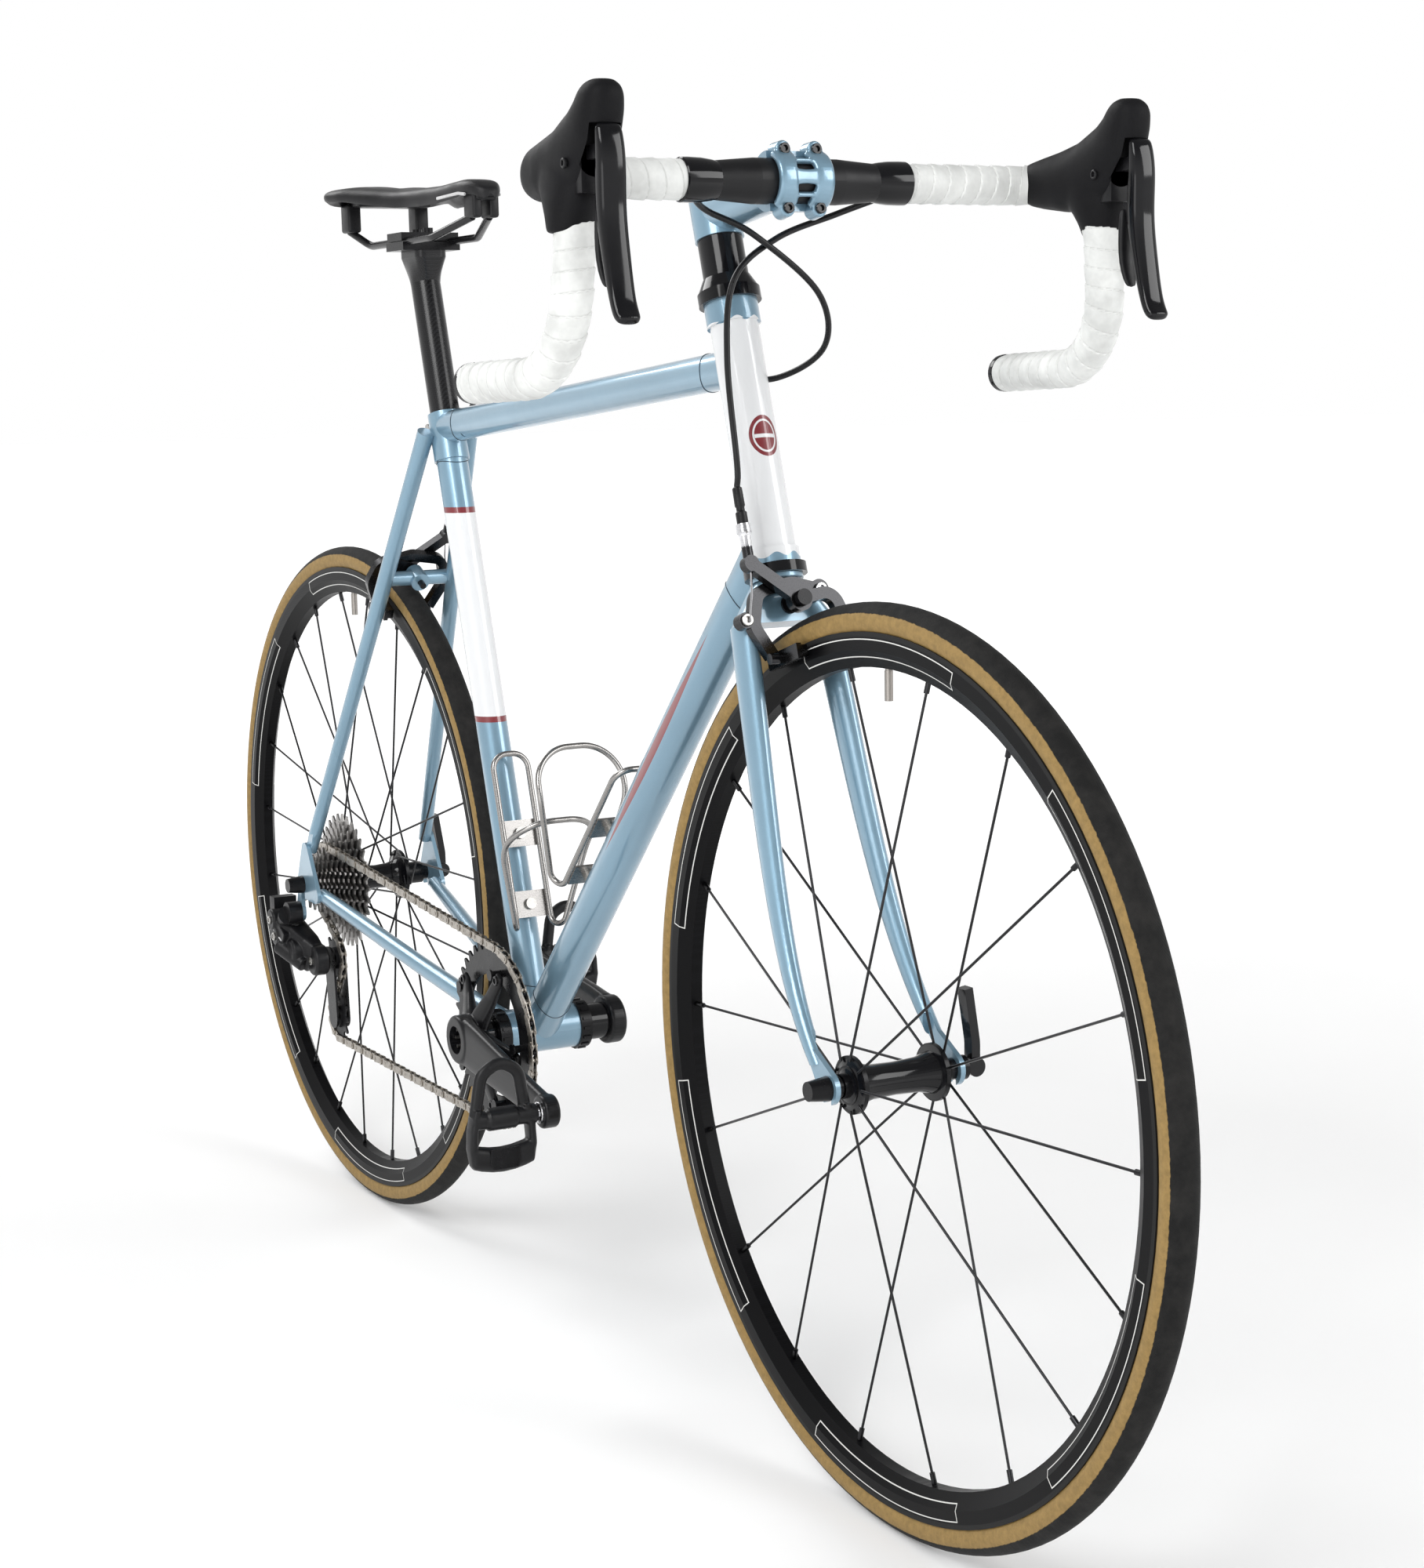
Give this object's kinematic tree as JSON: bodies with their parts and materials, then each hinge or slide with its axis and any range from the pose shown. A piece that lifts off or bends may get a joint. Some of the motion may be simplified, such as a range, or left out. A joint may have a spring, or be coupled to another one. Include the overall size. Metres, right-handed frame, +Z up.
{
  "type": "road bicycle",
  "caption": "Road bicycle with drop handlebar, spoked wheels, single chainring drive, rim brakes and two bottle cages; the fork steers and the wheels and cranks turn.",
  "frame": {"origin": "the point where the rear tyre meets the floor, midway between its sides", "axes": "+X forward along the bicycle, +Y to the rider's left, +Z up"},
  "size_m": [1.672, 0.4756, 1.0122],
  "materials": {
    "frame_blue": "metallic gloss",
    "frame_white": "gloss",
    "stainless": "bright",
    "steel_parts": "plain",
    "black_alloy": "satin anodised",
    "silver_alloy": "polished",
    "carbon_crank": "satin carbon composite",
    "black_plastic": "satin",
    "hood_rubber": "matte grained",
    "saddle_skin": "synthetic leather",
    "white_tape": "wrapped cork-like tape",
    "tyre_rubber": "black tread, tan sidewall",
    "rim_black": "satin carbon composite",
    "cable_black": "smooth"
  },
  "bodies": {
    "frame": {"head_tube": "frame_white", "top_tube": "frame_blue", "down_tube": "frame_blue", "seat_tube": "frame_blue", "chain_stays": "frame_blue", "seat_stays": "frame_blue", "headset_cups": "black_alloy", "bottom_bracket_cups": "black_alloy", "seatpost": "black_alloy", "saddle_clamp": "black_alloy", "saddle_rails": "steel_parts", "saddle_cover": "saddle_skin", "seat_tube_cage": "stainless", "down_tube_cage": "stainless", "frame_bolts": "steel_parts", "rear_axle": "steel_parts", "rear_brake_bolt": "black_alloy", "rear_brake_cable_back": "cable_black", "chain": "steel_parts", "derailleur_mount": "black_alloy", "derailleur_body": "black_alloy", "derailleur_cage": "black_alloy"},
    "steering": {"fork_crown": "frame_blue", "fork_blades": "frame_blue", "headset_spacers": "black_alloy", "stem": "frame_blue", "stem_faceplate": "frame_blue", "handlebar": "carbon_crank", "bar_tape": "white_tape", "lever_hoods": "hood_rubber", "front_axle": "steel_parts", "front_brake_bolt": "black_alloy", "front_brake_cable": "cable_black", "rear_brake_cable_front": "cable_black"},
    "front_wheel": {"front_tyre": "tyre_rubber", "front_rim": "rim_black", "front_hub": "black_alloy", "front_spokes": "steel_parts"},
    "rear_wheel": {"rear_tyre": "tyre_rubber", "rear_rim": "rim_black", "rear_hub": "black_alloy", "rear_spokes": "steel_parts"},
    "cassette_body": {"cassette": "steel_parts"},
    "crankset": {"crank_right": "carbon_crank", "crank_left": "carbon_crank", "chainring": "black_alloy"},
    "pedal_right_body": {"pedal_right": "black_plastic"},
    "pedal_left_body": {"pedal_left": "black_plastic"},
    "brake_lever_right_body": {"lever_right": "black_plastic"},
    "brake_lever_left_body": {"lever_left": "black_plastic"},
    "shift_paddle_right_body": {"paddle_right": "black_plastic"},
    "shift_paddle_left_body": {"paddle_left": "black_plastic"},
    "front_centre_arm_body": {"front_brake_centre_arm": "black_alloy"},
    "front_offset_arm_body": {"front_brake_offset_arm": "black_alloy"},
    "rear_centre_arm_body": {"rear_brake_centre_arm": "black_alloy"},
    "rear_offset_arm_body": {"rear_brake_offset_arm": "black_alloy"},
    "guide_pulley_body": {"guide_pulley": "black_plastic"},
    "tension_pulley_body": {"tension_pulley": "black_plastic"},
    "front_skewer_lever_body": {"front_skewer_lever": "black_alloy"},
    "rear_skewer_lever_body": {"rear_skewer_lever": "black_alloy"}
  },
  "joints": [
    {"name": "steering_turn", "type": "hinge", "parent": "frame", "child": "steering", "pos_m": [0.81663, 0, 0.78187], "axis": [-0.2924, 0, 0.9563], "range_deg": [-60, 60], "deforming": ["rear_brake_cable_front"]},
    {"name": "front_wheel_spin", "type": "hinge", "parent": "steering", "child": "front_wheel", "pos_m": [1, 0, 0.336], "axis": [0, 1, 0], "continuous": true},
    {"name": "rear_wheel_spin", "type": "hinge", "parent": "frame", "child": "rear_wheel", "pos_m": [0, 0, 0.336], "axis": [0, 1, 0], "continuous": true},
    {"name": "crank_spin", "type": "hinge", "parent": "frame", "child": "crankset", "pos_m": [0.404, 0, 0.256], "axis": [0, 1, 0], "continuous": true, "deforming": ["chain"]},
    {"name": "cassette_spin", "type": "hinge", "parent": "frame", "child": "cassette_body", "pos_m": [0, 0, 0.336], "axis": [0, 1, 0], "continuous": true},
    {"name": "guide_pulley_spin", "type": "hinge", "parent": "frame", "child": "guide_pulley_body", "pos_m": [0.012, -0.042, 0.259], "axis": [0, 1, 0], "continuous": true},
    {"name": "tension_pulley_spin", "type": "hinge", "parent": "frame", "child": "tension_pulley_body", "pos_m": [0.017, -0.042, 0.199], "axis": [0, 1, 0], "continuous": true},
    {"name": "pedal_right_spin", "type": "hinge", "parent": "crankset", "child": "pedal_right_body", "pos_m": [0.57685, -0.12, 0.22862], "axis": [0, 1, 0], "continuous": true},
    {"name": "pedal_left_spin", "type": "hinge", "parent": "crankset", "child": "pedal_left_body", "pos_m": [0.23115, 0.12, 0.28338], "axis": [0, 1, 0], "continuous": true},
    {"name": "brake_lever_right_pull", "type": "hinge", "parent": "steering", "child": "brake_lever_right_body", "pos_m": [0.975, -0.208, 0.971], "axis": [0, 1, 0], "range_deg": [0, 12], "stiffness_Nm_per_rad": 1.5},
    {"name": "brake_lever_left_pull", "type": "hinge", "parent": "steering", "child": "brake_lever_left_body", "pos_m": [0.975, 0.208, 0.971], "axis": [0, 1, 0], "range_deg": [0, 12], "stiffness_Nm_per_rad": 1.5},
    {"name": "shift_paddle_right_press", "type": "hinge", "parent": "brake_lever_right_body", "child": "shift_paddle_right_body", "pos_m": [0.99, -0.214, 0.927], "axis": [0, 0, 1], "range_deg": [0, 6], "stiffness_Nm_per_rad": 0.2},
    {"name": "shift_paddle_left_press", "type": "hinge", "parent": "brake_lever_left_body", "child": "shift_paddle_left_body", "pos_m": [0.99, 0.214, 0.927], "axis": [0, 0, -1], "range_deg": [0, 6], "stiffness_Nm_per_rad": 0.2},
    {"name": "front_centre_arm_squeeze", "type": "hinge", "parent": "steering", "child": "front_centre_arm_body", "pos_m": [0.87987, 0, 0.66736], "axis": [-0.9563, 0, -0.2924], "range_deg": [0, 2.2], "deforming": ["front_brake_cable"]},
    {"name": "front_offset_arm_squeeze", "type": "hinge", "parent": "steering", "child": "front_offset_arm_body", "pos_m": [0.86893, 0.022, 0.67238], "axis": [0.9563, 0, 0.2924], "range_deg": [0, 1.8]},
    {"name": "rear_centre_arm_squeeze", "type": "hinge", "parent": "frame", "child": "rear_centre_arm_body", "pos_m": [0.14215, 0, 0.66165], "axis": [0.8834, 0, -0.4685], "range_deg": [0, 2.2], "deforming": ["rear_brake_cable_back"]},
    {"name": "rear_offset_arm_squeeze", "type": "hinge", "parent": "frame", "child": "rear_offset_arm_body", "pos_m": [0.15385, -0.022, 0.6645], "axis": [-0.8834, 0, 0.4685], "range_deg": [0, 1.8]},
    {"name": "front_skewer_lever_open", "type": "hinge", "parent": "steering", "child": "front_skewer_lever_body", "pos_m": [1, 0.0676, 0.336], "axis": [-1, 0, 0], "range_deg": [0, 170]},
    {"name": "rear_skewer_lever_open", "type": "hinge", "parent": "frame", "child": "rear_skewer_lever_body", "pos_m": [0, 0.0826, 0.336], "axis": [-1, 0, 0], "range_deg": [0, 170]}
  ],
  "couplings": [
    {"joint": "cassette_spin", "follows": "crank_spin", "ratio": 2.2222},
    {"joint": "guide_pulley_spin", "follows": "crank_spin", "ratio": -3.6364},
    {"joint": "tension_pulley_spin", "follows": "crank_spin", "ratio": 3.6364},
    {"joint": "front_centre_arm_squeeze", "follows": "brake_lever_left_pull", "ratio": 0.18333},
    {"joint": "front_offset_arm_squeeze", "follows": "brake_lever_left_pull", "ratio": 0.15},
    {"joint": "rear_centre_arm_squeeze", "follows": "brake_lever_right_pull", "ratio": 0.18333},
    {"joint": "rear_offset_arm_squeeze", "follows": "brake_lever_right_pull", "ratio": 0.15}
  ]
}
